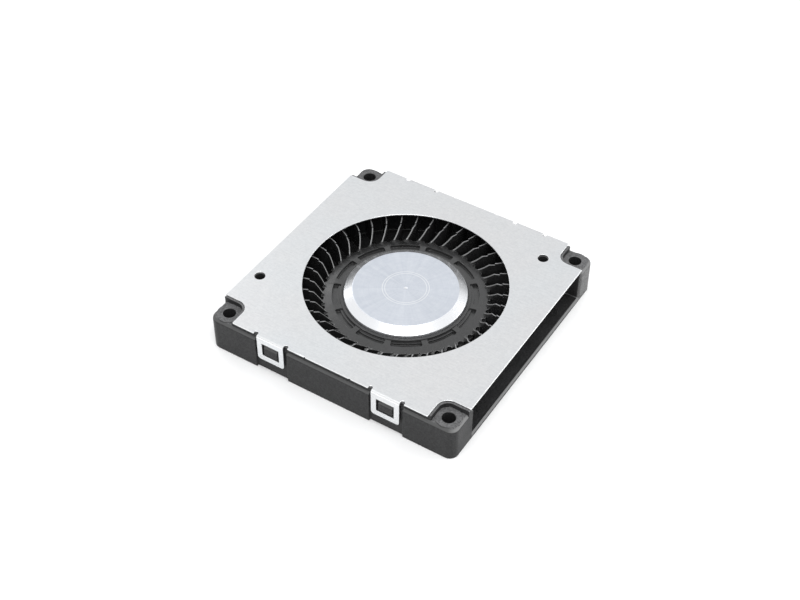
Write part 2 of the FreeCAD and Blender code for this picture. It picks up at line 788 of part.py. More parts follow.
def make_impeller():
    """Moulded impeller: hollow hub with a deck of ring pockets, backplate and curved blades."""
    body = new_body("impeller")
    plate_top = "(impeller_bottom + backplate_thickness)"
    deck_under = "(hub_deck_height - hub_deck_thickness)"
    skirt = f"({HUB_EDGE} - hub_skirt_wall)"
    rim = f"{IMPELLER_EDGE} - backplate_margin"
    hub = sketch_on(body, "XZ_Plane")
    outline(hub, [
        ("cup_radius", "impeller_bottom"),
        (HUB_LIP_OUTER, "impeller_bottom"),
        (HUB_LIP_OUTER, deck_under),
        (HUB_DECK_EDGE, deck_under),
        (skirt, f"{deck_under} - hub_soffit_drop"),
        (skirt, "impeller_bottom"),
        (rim, "impeller_bottom"),
        (rim, plate_top),
        (f"{HUB_EDGE} + hub_skirt_draft", plate_top),
        (HUB_EDGE, "hub_edge_height"),
        (HUB_DECK_EDGE, "hub_deck_height"),
        (HUB_LIP_OUTER, "hub_deck_height"),
        (HUB_LIP_OUTER, "hub_lip_height"),
        (HUB_BORE, "hub_lip_height"),
        (HUB_BORE, "hub_lip_height - hub_lip_depth"),
        ("cup_radius", "hub_lip_height - hub_lip_depth"),
    ])
    revolve(body, hub)
    cut_hub_pockets(body)
    cut_scallops(body)
    add_blades(body)
    return body


def cut_hub_pockets(body):
    """Cut the ring of stepped arc pockets in the hub's deck."""
    shallow = sketch_on(body, "XY_Plane", "hub_deck_height")
    rounded_sector(shallow, HUB_LIP_OUTER, HUB_DECK_EDGE, "pocket_span", "pocket_phase",
                   "pocket_corner_radius")
    first = pocket(body, shallow, "pocket_step_depth")
    deep = sketch_on(body, "XY_Plane", "hub_deck_height")
    rounded_sector(deep, f"({HUB_LIP_OUTER} + pocket_step_width)", HUB_DECK_EDGE,
                   "pocket_span", "pocket_phase", "pocket_corner_radius")
    second = pocket(body, deep, "pocket_depth")
    around(body, [first, second], "pocket_count")


def cut_scallops(body):
    """Scallop the hub's edge between neighbouring blades."""
    cut = sketch_on(body, "XY_Plane", "hub_deck_height")
    place = f"({HUB_EDGE} + scallop_inset)"
    angle = "((scallop_angle + blade_phase) * 1deg)"
    circle(cut, "scallop_radius", f"{place} * cos({angle})", f"{place} * sin({angle})")
    around(body, [pocket(body, cut, "hub_deck_height - scallop_floor")], "blade_count")


def add_blades(body):
    """Stand the curved blades on the backplate and turn their tops to shape."""
    plan = sketch_on(body, "XY_Plane", "impeller_bottom")
    bind(plan, "AttachmentOffset.Rotation.Angle", "blade_phase")
    draw_blade(plan)
    blade = pad(body, plan, f"{BLADE_TOP} - impeller_bottom")
    around(body, [blade], "blade_count")
    crown = sketch_on(body, "XZ_Plane")
    step = f"({BLADE_TOP} - blade_step_depth)"
    inside = f"{BLADE_ROOT} - cut_overrun"
    above = f"{BLADE_TOP} + cut_overrun"
    outline(crown, [
        (inside, "blade_heel_height"),
        (BLADE_HEEL, "blade_heel_height"),
        (BLADE_KNEE, step),
        (BLADE_STEP, step),
        (BLADE_STEP, above),
        (inside, above),
    ])
    revolve(body, crown, "Groove")


def draw_blade(plan):
    """Draw a blade of even thickness between the hub's and the impeller's radius."""
    centre = Vector(value("blade_centre_out"), value("blade_centre_side"), 0)
    faces = []
    for side in (LEFT, RIGHT):
        radius = value("blade_curve_radius") + side * value("blade_thickness") / 2
        angles = [blade_end(centre, radius, value(limit))
                  for limit in (BLADE_ROOT, IMPELLER_EDGE)]
        face = Part.ArcOfCircle(Part.Circle(centre, Vector(0, 0, 1), radius), *angles)
        faces.append(plan.addGeometry(face, False))
    outer, inner = faces
    ends = []
    for vertex in (1, 2):
        line = Part.LineSegment(plan.getPoint(outer, vertex), plan.getPoint(inner, vertex))
        ends.append(plan.addGeometry(line, False))
        plan.addConstraint(Sketcher.Constraint("Coincident", ends[-1], 1, outer, vertex))
        plan.addConstraint(Sketcher.Constraint("Coincident", ends[-1], 2, inner, vertex))
    plan.addConstraint(Sketcher.Constraint("Coincident", outer, 3, inner, 3))
    fix_point(plan, outer, 3, ("blade_centre_out", "blade_centre_side"))
    fix(plan, "Radius", (outer,), "blade_curve_radius + blade_thickness / 2")
    fix(plan, "Radius", (inner,), "blade_curve_radius - blade_thickness / 2")
    for vertex, limit in ((1, BLADE_ROOT), (2, IMPELLER_EDGE)):
        rim = Part.Circle(Vector(0, 0, 0), Vector(0, 0, 1), value(limit))
        guide = plan.addGeometry(rim, True)
        plan.addConstraint(Sketcher.Constraint("Coincident", guide, 3, -1, 1))
        fix(plan, "Radius", (guide,), limit)
        for face in faces:
            plan.addConstraint(Sketcher.Constraint("PointOnObject", face, vertex, guide))


def blade_end(centre, radius, limit):
    """Give the angle about the blade's centre at which its face meets a circle about the axis."""
    away = centre.Length
    swing = math.acos((radius ** 2 + away ** 2 - limit ** 2) / (2 * radius * away))
    return math.atan2(-centre.y, -centre.x) + swing + 2 * math.pi


def make_rotor_cup():
    """Drawn steel cup: flat face, bevelled shoulder and a centre mark."""
    face = "cup_radius - cup_bevel_width"
    shoulder = "(cup_top_height - cup_bevel_drop)"
    turned("rotor_cup", [
        ("0", CUP_INSIDE_TOP),
        (f"{face} - cup_bend_inset", CUP_INSIDE_TOP),
        (CUP_BORE, f"{shoulder} - cup_bend_drop"),
        (CUP_BORE, "cup_rim_height"),
        ("cup_radius", "cup_rim_height"),
        ("cup_radius", shoulder),
        (face, "cup_top_height"),
        ("dimple_radius", "cup_top_height"),
        ("0", "cup_top_height - dimple_depth"),
    ])


def make_rotor_core():
    """Boss, shaft, magnet, clip and preload spring that turn with the cup."""
    turned("rotor_boss", section("shaft_radius", "boss_radius", BOSS_BOTTOM, CUP_INSIDE_TOP))
    turned("rotor_magnet", section(f"{CUP_BORE} - magnet_thickness", CUP_BORE,
                                   "magnet_bottom", "magnet_bottom + magnet_length"))
    groove_top = LOWER_BEARING_BOTTOM
    groove_low = f"({groove_top} - clip_thickness)"
    low = f"({groove_low} - shaft_stub)"
    turned("shaft", [
        ("0", low),
        ("clip_groove_radius", low),
        ("shaft_radius", f"{low} + shaft_chamfer"),
        ("shaft_radius", groove_low),
        ("clip_groove_radius", groove_low),
        ("clip_groove_radius", groove_top),
        ("shaft_radius", groove_top),
        ("shaft_radius", f"{CUP_INSIDE_TOP} - shaft_chamfer"),
        ("shaft_radius - shaft_chamfer", CUP_INSIDE_TOP),
        ("0", CUP_INSIDE_TOP),
    ])
    clip = new_body("retaining_ring")
    ring = sketch_on(clip, "XY_Plane", groove_low)
    circle(ring, "clip_radius")
    circle(ring, "clip_groove_radius")
    pad(clip, ring, "clip_thickness")
    mouth = sketch_on(clip, "XY_Plane", groove_top)
    rectangle(mouth, "0", "clip_radius + cut_overrun", "-clip_gap / 2", "clip_gap / 2")
    pocket(clip, mouth, "clip_thickness")
    make_spring()


def make_spring():
    """Short coil spring between the upper bearing's inner ring and the boss."""
    spring = new_body("preload_spring")
    wire = sketch_on(spring, "XZ_Plane")
    circle(wire, "spring_wire_radius", "spring_radius", f"{UPPER_BEARING_TOP} + spring_wire_radius")
    coil = spring.newObject("PartDesign::AdditiveHelix", "preload_spring_coil")
    coil.Profile = wire
    coil.ReferenceAxis = (wire, ["V_Axis"])
    coil.Mode = "height-turns-angle"
    bind(coil, "Height", "spring_height - 2 * spring_wire_radius")
    bind(coil, "Turns", "spring_turns")


def make_bearing_tube():
    """Brass tube with a shoulder between the bearings, and the cap under it."""
    top = f"({UPPER_BEARING_TOP} + tube_top_margin)"
    high = f"({UPPER_BEARING} - bearing_width / 2)"
    low = f"({LOWER_BEARING} + bearing_width / 2)"
    turned("bearing_tube", [
        ("bearing_radius", "tube_seat_height"),
        ("tube_radius", "tube_seat_height"),
        ("tube_radius", top),
        ("bearing_radius", top),
        ("bearing_radius", high),
        ("shoulder_radius", high),
        ("shoulder_radius", low),
        ("bearing_radius", low),
    ])
    cap_low = "(tube_seat_height - cap_thickness)"
    turned("bearing_cap", [
        ("0", cap_low),
        ("cap_radius - cap_chamfer", cap_low),
        ("cap_radius", f"{cap_low} + cap_chamfer"),
        ("cap_radius", "tube_seat_height"),
        ("0", "tube_seat_height"),
    ])


def make_bearing(place, height):
    """Make one ball bearing: two grooved rings, balls, crown cage and two shields."""
    half = "bearing_width / 2"
    race = "ball_radius + race_clearance"
    rings = (
        ("outer_ring", OUTER_LAND, "bearing_radius"),
        ("inner_ring", "shaft_radius", INNER_LAND),
    )
    made = []
    for name, inner, outer in rings:
        ring = turned(f"{place}_bearing_{name}", section(inner, outer, f"-{half}", half))
        groove = sketch_on(ring, "XZ_Plane")
        circle(groove, race, "ball_pitch_radius", "0")
        revolve(ring, groove, "Groove")
        made.append(ring)
    balls = new_body(f"{place}_bearing_balls")
    made.append(balls)
    ball = add_ball(balls, "AdditiveSphere", "ball_radius")
    around(balls, [ball], "ball_count")
    inner = "ball_pitch_radius - cage_wall"
    outer = "ball_pitch_radius + cage_wall"
    cage = turned(f"{place}_bearing_cage", section(inner, outer, "cage_rise", "cage_top"))
    gap = add_ball(cage, "SubtractiveSphere", "ball_radius + cage_pocket_clearance")
    around(cage, [gap], "ball_count")
    made.append(cage)
    shield = new_body(f"{place}_bearing_shields")
    made.append(shield)
    face = sketch_on(shield, "XY_Plane", f"{half} - shield_inset - shield_thickness")
    circle(face, OUTER_LAND)
    circle(face, f"{INNER_LAND} + shield_clearance")
    mirrored(shield, [pad(shield, face, "shield_thickness")], "XY_Plane")
    for body in made:
        bind(body, "Placement.Base.z", height)


def add_ball(body, kind, radius):
    ball = body.newObject(f"PartDesign::{kind}", f"{body.Name}_ball")
    ball.AttachmentSupport = (origin_feature(body, "XY_Plane"), [""])
    ball.MapMode = "FlatFace"
    bind(ball, "AttachmentOffset.Base.x", "ball_pitch_radius")
    bind(ball, "Radius", radius)
    return ball


def draw_tooth(sketch, root, width, neck, face, span):
    """Draw one stator tooth along +X with its curved pole face."""
    def at(radius, side):
        angle = f"({side} * {span} / 2 * 1deg)"
        return (f"({radius}) * cos({angle})", f"({radius}) * sin({angle})")
    corners = [
        (root, f"-{width} / 2"),
        (neck, f"-{width} / 2"),
        at(neck, -1),
        at(face, -1),
        at(face, 1),
        at(neck, 1),
        (neck, f"{width} / 2"),
        (root, f"{width} / 2"),
    ]
    outline(sketch, corners, {3: (LEFT, face)})


def make_stator():
    """Laminated core, an insulator above and below it, and a coil round each tooth."""
    core = new_body("stator_core")
    plan = sketch_on(core, "XY_Plane", "core_bottom")
    circle(plan, "tube_radius + core_hub_wall")
    circle(plan, "tube_radius")
    pad(core, plan, "core_thickness")
    tooth = sketch_on(core, "XY_Plane", "core_bottom")
    neck = f"({CORE_EDGE} - pole_face_depth)"
    draw_tooth(tooth, "(tube_radius + core_hub_wall / 2)", "tooth_width", neck, CORE_EDGE,
               "pole_face_span")
    around(core, [pad(core, tooth, "core_thickness")], "pole_count")
    make_insulator("upper_insulator", CORE_TOP, 1)
    make_insulator("lower_insulator", "core_bottom", -1)
    make_coils()


def make_insulator(name, face, side):
    """Moulded frame that lies on the core and keeps the coils off it."""
    body = new_body(name)
    sheet_low = face if side > 0 else f"({face} - insulator_thickness)"
    ring = sketch_on(body, "XY_Plane", sheet_low)
    circle(ring, "insulator_ring_radius")
    circle(ring, "tube_radius + insulator_clearance")
    pad(body, ring, "insulator_thickness")
    flange = f"({CORE_EDGE} - pole_face_depth - flange_setback)"
    arm = sketch_on(body, "XY_Plane", sheet_low)
    half = "(tooth_width / 2 + insulator_overhang)"
    rectangle(arm, "insulator_ring_radius - cut_overrun", flange, f"-{half}", half)
    arms = pad(body, arm, "insulator_thickness")
    wall_low = face if side > 0 else f"({face} - flange_height)"
    wall = sketch_on(body, "XY_Plane", wall_low)
    rectangle(wall, f"{flange} - flange_wall", flange, f"-{half} - coil_side", f"{half} + coil_side")
    walls = pad(body, wall, "flange_height")
    around(body, [arms, walls], "pole_count")


def make_coils():
    """Wind one coil round each insulated tooth."""
    body = new_body("coils")
    start = "(insulator_ring_radius + coil_clearance)"
    stop = (f"({CORE_EDGE} - pole_face_depth - flange_setback - flange_wall"
            " - coil_clearance / 2)")
    face = sketch_on(body, "YZ_Plane", start)
    half = "(tooth_width / 2 + insulator_overhang)"
    low = "(core_bottom - insulator_thickness)"
    top = f"({CORE_TOP} + insulator_thickness)"
    side = f"({half} + coil_side)"
    bottom = f"({low} - coil_depth)"
    roof = f"({top} + coil_depth)"
    rounded_rectangle(face, f"-{side}", side, bottom, roof, "coil_depth")
    rectangle(face, f"-{half}", half, low, top)
    around(body, [pad(body, face, f"{stop} - {start}")], "pole_count")


def make_board():
    """Ring-shaped circuit board on the floor's posts."""
    board = new_body("circuit_board")
    plan = sketch_on(board, "XY_Plane", "board_height")
    circle(plan, BOARD_EDGE)
    circle(plan, "tube_radius + hub_boss_wall + board_clearance")
    pad(board, plan, "board_thickness")
    holes = sketch_on(board, "XY_Plane", BOARD_TOP)
    circle(holes, "terminal_radius + terminal_clearance", *TERMINAL)
    around(board, [pocket(board, holes, "board_thickness")], "terminal_count")
    add_chips("driver_chip", "chip", [90])
    add_chips("hall_sensor", "sensor", [30])
    add_chips("capacitors", "capacitor", [210, 330])
    add_chips("resistors", "resistor", [255, 275, 295, 315])
    pins = new_body("terminal_pins")
    pin = sketch_on(pins, "XY_Plane", "board_height - terminal_stick_out")
    circle(pin, "terminal_radius", *TERMINAL)
    length = "core_bottom - insulator_thickness - board_height + terminal_stick_out"
    around(pins, [pad(pins, pin, length)], "terminal_count")


def add_chips(name, kind, angles):
    """Set like components on the board, each along the radius at its angle."""
    boxes = []
    for number, angle in enumerate(angles):
        box = doc.addObject("Part::Box", f"{name}_{number}")
        bind(box, "Length", f"{kind}_width")
        bind(box, "Width", f"{kind}_length")
        bind(box, "Height", f"{kind}_height")
        turn = f"{angle} * 1deg"
        bind(box, "Placement.Rotation.Angle", turn)
        out = f"({BOARD_EDGE} - {kind}_inset - {kind}_width / 2)"
        bind(box, "Placement.Base.x", f"{out} * cos({turn}) + {kind}_length / 2 * sin({turn})")
        bind(box, "Placement.Base.y", f"{out} * sin({turn}) - {kind}_length / 2 * cos({turn})")
        bind(box, "Placement.Base.z", BOARD_TOP)
        boxes.append(box)
    group = doc.addObject("Part::Compound", name)
    group.Label = name
    group.Links = boxes
    parts.append(group)


def check_and_write():
    """Stop on any failed object or bad shape, then write each sub-part to its own file."""
    doc.recompute()
    for item in doc.Objects:
        failed = [word for word in item.State if word in ("Invalid", "Error")]
        if failed:
            raise RuntimeError(f"{item.Label}: {failed}")
    for part in parts:
        if part.Shape.isNull() or not part.Shape.isValid():
            raise RuntimeError(f"{part.Label}: bad shape")
    os.makedirs("parts", exist_ok=True)
    for part in parts:
        part.Shape.exportStep(os.path.join("parts", f"{part.Label}.step"))


make_base_housing()
make_top_cover()
make_impeller()
make_rotor_cup()
make_rotor_core()
make_bearing_tube()
make_bearing("lower", LOWER_BEARING)
make_bearing("upper", UPPER_BEARING)
make_stator()
make_board()
check_and_write()
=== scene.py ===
import functools
import json
import math

import bmesh
import bpy
from mathutils import Matrix, Vector
from mathutils.bvhtree import BVHTree
from mathutils.geometry import intersect_point_line


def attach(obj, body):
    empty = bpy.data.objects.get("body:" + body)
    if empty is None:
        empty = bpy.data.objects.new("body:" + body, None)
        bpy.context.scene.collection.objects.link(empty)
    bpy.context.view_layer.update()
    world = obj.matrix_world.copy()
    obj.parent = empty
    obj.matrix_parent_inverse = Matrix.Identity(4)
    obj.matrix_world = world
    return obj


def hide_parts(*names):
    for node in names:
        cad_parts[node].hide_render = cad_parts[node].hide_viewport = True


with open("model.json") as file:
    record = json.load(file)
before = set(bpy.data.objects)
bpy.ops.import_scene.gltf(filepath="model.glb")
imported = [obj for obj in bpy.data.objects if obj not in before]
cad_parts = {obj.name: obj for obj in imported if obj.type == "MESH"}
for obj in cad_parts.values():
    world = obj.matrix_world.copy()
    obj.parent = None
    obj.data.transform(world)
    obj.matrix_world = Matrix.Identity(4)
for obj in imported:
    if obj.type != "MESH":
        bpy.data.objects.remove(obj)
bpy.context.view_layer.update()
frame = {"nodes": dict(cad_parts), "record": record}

# Centrifugal blower with a sheet cover, a black moulded casing and a turned metal cup in its hub.
# The rotor turns about the Z axis.

MM = 0.001
nodes = frame["nodes"]

# Places that the materials go by, in mm
# Painted top light falls on up-facing faces above these heights and beyond this radius
EARS_ABOVE = 11.0
BLADE_TOPS_ABOVE = 9.0
BLADES_BEYOND = 28.3
ZONE_FADE = 0.3
# Where the painted highlight at the air outlet falls
OUTLET_PLANE = (43.5, 45.5)
OUTLET_FAR_END = (28.0, 36.0)
CUP_FACE = (12.25, 12.33)
SCRIBED_RADII = (6.95, 7.8)
SCRIBED_HALF_WIDTH = (0.05, 0.12)

# Nearly all of a noise lies between these
FINE_NOISE = (0.36, 0.66)
MIXED_NOISE = (0.35, 0.65)
SOFT_NOISE = (0.3, 0.7)

# Rounding of edges. A piece's widths are in mm, and each edge takes the first one that fits.
ROUNDINGS = {
    "base_housing": {"widths": (0.30, 0.12, 0.04)},
    "top_cover": {"widths": (0.28, 0.14, 0.05)},
    "impeller": {"widths": (0.15, 0.06), "segments": 2},
    "rotor_cup": {"widths": (0.15, 0.05)},
}
ROUNDED_ANGLE = 28.0  # degrees, the least turn of an edge that is rounded
SHADED_ANGLE = 35.0  # degrees, the least turn of an edge that is shaded as one
ROOM_PER_WIDTH = 2.4  # clear room beside an edge for each mm of width
STRAIGHT_OUT = 0.5  # cosine with the edge, below which a way still leads straight out from it
ROUNDING_TRIES = 5
FOLD_AREA = 0.08  # mm2 that a face fills beyond its own area when it folds
TURNED_AREA = 0.01  # mm2, twice the least area of a turned triangle that counts
LARGE_FACE = 10.0  # mm
FOLD_MARGIN = 0.3  # mm round a fold where edges stay sharp
WELD_GAP = 0.0005  # mm
FLAT_ANGLE = 0.5  # degrees

# Camera, fitted to the picture
CAMERA_ANGLES = (32.05, 44.16, 0.428)  # azimuth, elevation and roll in degrees
CAMERA_TARGET = (2.934, -8.207, 15.0)  # mm
CAMERA_DISTANCE = 453.33  # mm
CAMERA_LENS = 62.96  # mm
CAMERA_SENSOR = 36.0  # mm
CAMERA_CLIP = (0.01, 20.0)  # m

# White tent: strengths of its lower part, from the dark side to the bright one, and of its top
BRIGHT_SIDE = (0.53, -0.85, 0.0)
BRIGHT_SIDE_FADE = (-0.1, 0.6)
LOWER_STRENGTH = (0.35, 0.85)
TOP_STRENGTH = 0.95
TOP_FADE = (0.29, 0.36)
TENT_COLOUR = (0.985, 0.993, 1.0, 1)

# Softboxes: place and size in m, power in W. Each looks at the object's middle.
SOFTBOXES = {
    "top_box": ((0.20, -0.30, 0.85), (0.6, 0.6), 4.0),
    "right_box": ((0.46, 0.40, 0.27), (0.40, 0.24), 0.9),
    "left_box": ((-0.55, 0.23, 0.34), (0.30, 0.30), 0.36),
}

FLOOR_REACH = 3.0  # m
FLOOR_DROP = 0.02  # mm


# Node helpers

class Nodes:
    """Short calls that add nodes to a node tree and give back the new node's output."""

    def __init__(self, tree):
        self.tree = tree

    def add(self, kind, output=0, settings=None, **inputs):
        """Add a node. Its inputs go by name, or as i0 and i1 where two share a name."""
        node = self.tree.nodes.new(f"ShaderNode{kind}")
        for name, setting in (settings or {}).items():
            setattr(node, name, setting)
        for socket, source in inputs.items():
            key = int(socket[1]) if socket in ("i0", "i1") else socket.replace("_", " ")
            self.feed(node.inputs[key], source)
        return node.outputs[output]

    def feed(self, socket, source):
        if isinstance(source, bpy.types.NodeSocket):
            self.tree.links.new(source, socket)
        else:
            socket.default_value = source

    def along(self, vector, axis):
        return self.add("SeparateXYZ", output=axis, Vector=vector)

    def maths(self, operation, first, second=0.0):
        return self.add("Math", settings={"operation": operation}, i0=first, i1=second)

    def times(self, first, second):
        return self.maths("MULTIPLY", first, second)

    def remap(self, value, low, high, new_low=0.0, new_high=1.0):
        return self.add("MapRange", Value=value, From_Min=low, From_Max=high, To_Min=new_low,
                        To_Max=new_high)


class Shader(Nodes):
    """A material's node tree round its surface shader."""

    def __init__(self, name, **inputs):
        self.material = bpy.data.materials.new(name)
        self.material.use_nodes = True
        super().__init__(self.material.node_tree)
        self.surface = self.tree.nodes["Principled BSDF"]
        self.set(**inputs)

    def set(self, **inputs):
        for socket, source in inputs.items():
            self.feed(self.surface.inputs[socket.replace("_", " ")], source)

    def place(self):
        return self.add("TexCoord", output="Object")

    def facing(self, axis="Z"):
        """How far the surface looks along an axis: for Z, 1 on a level face and 0 on a wall."""
        return self.along(self.add("TexCoord", output="Normal"), axis)

    def flat(self, place):
        return self.add("VectorMath", settings={"operation": "MULTIPLY"}, i0=place, i1=(1, 1, 0))

    def reach(self, place):
        """Distance from the rotor's axis."""
        return self.add("VectorMath", output="Value", settings={"operation": "LENGTH"},
                        i0=self.flat(place))

    def noise(self, vector, scale, detail=3.0, roughness=0.5):
        return self.add("TexNoise", Vector=vector, Scale=scale, Detail=detail,
                        Roughness=roughness)

    def stripes(self, pitch):
        """Level stripes with a pitch in mm, from -1 to 1."""
        height = self.along(self.place(), "Z")
        return self.maths("SINE", self.times(height, 2 * math.pi / (pitch * MM)))

    def fade(self, length, start, end, new_low=0.0, new_high=1.0):
        """Go from one value to another while a length goes from start to end, both in mm."""
        return self.remap(length, start * MM, end * MM, new_low, new_high)

    def weighed(self, *parts):
        """Sum of outputs, each given with its weight."""
        return functools.reduce(lambda total, part: self.maths("ADD", total, part),
                                [self.times(source, weight) for source, weight in parts])

    def colours(self, factor, first, second, blend="MIX"):
        return self.add("MixRGB", settings={"blend_type": blend}, Fac=factor, Color1=first,
                        Color2=second)

    def scaled(self, colour, factor):
        return self.add("VectorMath", settings={"operation": "MULTIPLY"}, i0=colour,
                        i1=self.add("CombineXYZ", X=factor, Y=factor, Z=factor))

    def bump(self, height, distance):
        """Relief with a depth in mm."""
        return self.add("Bump", Height=height, Distance=distance * MM)


def grey(level, tint=(1, 1, 1)):
    return tuple(level * part for part in tint) + (1,)


# Materials

def moulded_plastic(name, level, top_level, edge_level, roughness, above=0.0, beyond=0.0,
                    grain=0.02, ior=1.45, gloss=0.5, open_level=0.0):
    """Black moulded plastic: satin walls, a painted highlight on its rounded edges, and a rougher
    spark-eroded grain on the faces that look up and lie above a height and beyond a radius, both
    in mm, which are also painted lighter there as lit tops. An extra level paints a highlight on
    the air
    outlet: on its far end face, and more on its edges there."""
    shader = Shader(name, IOR=ior, Specular_IOR_Level=gloss)
    place = shader.place()
    zone = shader.maths("MINIMUM",
                        shader.fade(shader.along(place, "Z"), above - ZONE_FADE, above),
                        shader.fade(shader.reach(place), beyond - ZONE_FADE, beyond))
    rise = shader.facing()
    # Up-facing faces in the zone: a rougher grain, and painted top light in their colour
    rough_lit_tops = shader.times(shader.remap(rise, 0.5, 0.9), zone)
    # Rounded edges between tops and walls, which take a painted highlight
    edge = shader.times(shader.remap(rise, 0.25, 0.45), shader.remap(rise, 0.90, 0.96, 1.0, 0.0))
    slow = shader.noise(place, 160.0, detail=2.0)
    fine = shader.noise(place, 1900.0, roughness=0.7)
    dark = shader.colours(slow, grey(level * 0.8), grey(level * 1.25, (1, 1, 1.04)))
    # Painted top light: the colour of the lit up-facing faces
    light = shader.colours(slow, grey(top_level * 0.85), grey(top_level * 1.15, (1, 1, 1.03)))
    faces = shader.scaled(shader.colours(rough_lit_tops, dark, light),
                          shader.remap(fine, *FINE_NOISE, 0.62, 1.38))
    # Painted highlight colour of the rounded edges
    edges = grey(edge_level)
    # Painted highlight at the air outlet: its far end face lighter, its edges there lighter still
    if open_level:
        outside = shader.fade(shader.along(place, "X"), *OUTLET_PLANE)
        far = shader.fade(shader.along(place, "Y"), *OUTLET_FAR_END)
        lit_end_face = shader.maths("MINIMUM", shader.times(outside, far),
                                shader.remap(shader.facing("X"), 0.3, 0.8))
        faces = shader.colours(lit_end_face, faces,
                               shader.remap(fine, *FINE_NOISE, 0.5 * open_level, 1.5 * open_level))
        edges = shader.colours(outside, edges, grey(1.5 * open_level))
    shader.set(
        Base_Color=shader.colours(edge, faces, edges),
        Roughness=shader.maths(
            "ADD", shader.remap(slow, *SOFT_NOISE, roughness - 0.04, roughness + 0.06),
            shader.times(rough_lit_tops, 0.1)),
        Normal=shader.bump(fine, grain),
    )
    return shader.material


def plated_sheet(name):
    """Plated cover sheet: a fine crystalline grain with faint rolling lines, and a painted
    highlight along its cut edges and bends, which are also smoother."""
    shader = Shader(name, Metallic=1.0)
    place = shader.place()
    stretched = shader.add("Mapping", Vector=place, Scale=(260.0, 2600.0, 2600.0))
    rolled = shader.noise(stretched, 1.0)
    grain = shader.noise(place, 1300.0, detail=4.0, roughness=0.75)
    slow = shader.noise(place, 38.0, detail=2.0)
    mixed = shader.weighed((grain, 0.65), (rolled, 0.35))
    plain = shader.colours(shader.remap(mixed, *MIXED_NOISE),
                           (0.705, 0.712, 0.728, 1), (0.815, 0.820, 0.832, 1))
    tint = shader.colours(shader.remap(slow, *MIXED_NOISE),
                          (0.985, 1.0, 1.0, 1), (1.0, 0.995, 0.985, 1))
    sheet = shader.colours(1.0, plain, tint, blend="MULTIPLY")
    rise = shader.facing()
    # Cut edges and bends: a painted highlight in the colour, and a smoother surface
    sheet_edge_highlight = shader.times(shader.remap(rise, 0.05, 0.2), shader.remap(rise, 0.97, 0.80))
    shader.set(
        Base_Color=shader.colours(sheet_edge_highlight, sheet, (0.93, 0.935, 0.94, 1)),
        Roughness=shader.maths("SUBTRACT", shader.remap(mixed, *SOFT_NOISE, 0.31, 0.40),
                               shader.times(sheet_edge_highlight, 0.08)),
        Normal=shader.bump(mixed, 0.010),
    )
    return shader.material


def turned_metal(name):
    """Cup: a turned face with fine rings and sunburst streaks painted into its colour as sheen,
    two scribed rings, and a bright bevel.
    """
    shader = Shader(name, Anisotropic=0.4)
    place = shader.place()
    radius = shader.reach(place)
    rings = shader.noise(shader.add("CombineXYZ", X=shader.times(radius, 2400.0)), 1.0, detail=4.0)
    around = shader.add("VectorMath", settings={"operation": "NORMALIZE"}, i0=shader.flat(place))
    # Streaks round the axis, painted into the face's colour as the sunburst sheen of turned metal
    sunburst_rays = shader.noise(around, 7.0, roughness=0.6)
    mottled = shader.noise(place, 420.0, detail=4.0, roughness=0.7)
    scribed = shader.maths("MAXIMUM", *(
        shader.fade(shader.maths("ABSOLUTE", shader.maths("SUBTRACT", radius, middle * MM)),
                    *SCRIBED_HALF_WIDTH, 1.0, 0.0) for middle in SCRIBED_RADII))
    on_face = shader.fade(shader.along(place, "Z"), *CUP_FACE)
    pattern = shader.weighed((rings, 0.3), (sunburst_rays, 0.35), (mottled, 0.35))
    face = shader.colours(shader.remap(pattern, 0.40, 0.60),
                          (0.640, 0.675, 0.740, 1), (0.735, 0.765, 0.820, 1))
    face = shader.colours(scribed, face, (0.93, 0.94, 0.95, 1))
    cut = shader.times(shader.maths("SUBTRACT", rings, scribed), on_face)
    shader.set(
        Base_Color=shader.colours(on_face, (0.86, 0.87, 0.89, 1), face),
        Metallic=shader.remap(on_face, 0.0, 1.0, 0.8, 1.0),
        Roughness=shader.remap(on_face, 0.0, 1.0, 0.20, 0.38),
        Tangent=shader.add("Tangent", settings={"direction_type": "RADIAL", "axis": "Z"}),
        Normal=shader.bump(cut, 0.004),
    )
    return shader.material


def plain(name, colour, roughness, metallic, scale, detail, shade, smoother, relief):
    """One colour with a fine grain in its shade, roughness and relief."""
    shader = Shader(name, Metallic=metallic)
    grain = shader.noise(shader.place(), scale, detail)
    darker = tuple(shade * part for part in colour[:3]) + (1,)
    shader.set(
        Base_Color=shader.colours(grain, darker, colour),
        Roughness=shader.remap(grain, *SOFT_NOISE, roughness - smoother, roughness + 0.08),
        Normal=shader.bump(grain, relief),
    )
    return shader.material


def plain_metal(name, colour, roughness):
    return plain(name, colour, roughness, metallic=1.0, scale=2400.0, detail=2.0, shade=0.8,
                 smoother=0.05, relief=0.004)


def plain_matter(name, colour, roughness):
    return plain(name, colour, roughness, metallic=0.0, scale=1800.0, detail=3.0, shade=0.75,
                 smoother=0.06, relief=0.01)


def wound_copper(name):
    """Enamelled wire: fine windings across each coil's height, each painted darker towards the
    creases beside it as shade.
    """
    shader = Shader(name, Metallic=0.85, Roughness=0.3)
    turns = shader.stripes(0.25)
    shader.set(
        # Colour runs dark in the creases and copper on the crowns: painted shade
        Base_Color=shader.colours(shader.remap(turns, -1.0, 1.0),
                                  (0.30, 0.11, 0.04, 1), (0.72, 0.34, 0.15, 1)),
        Normal=shader.bump(turns, 0.05),
    )
    return shader.material


def laminated_steel(name):
    """Stack of punched sheets that shows as fine lines round the edge."""
    shader = Shader(name, Metallic=0.9, Roughness=0.5)
    sheets = shader.stripes(0.35)
    shader.set(
        Base_Color=shader.colours(shader.remap(sheets, -1.0, -0.6), grey(0.10), grey(0.33)),
        Normal=shader.bump(sheets, 0.03),
    )
    return shader.material


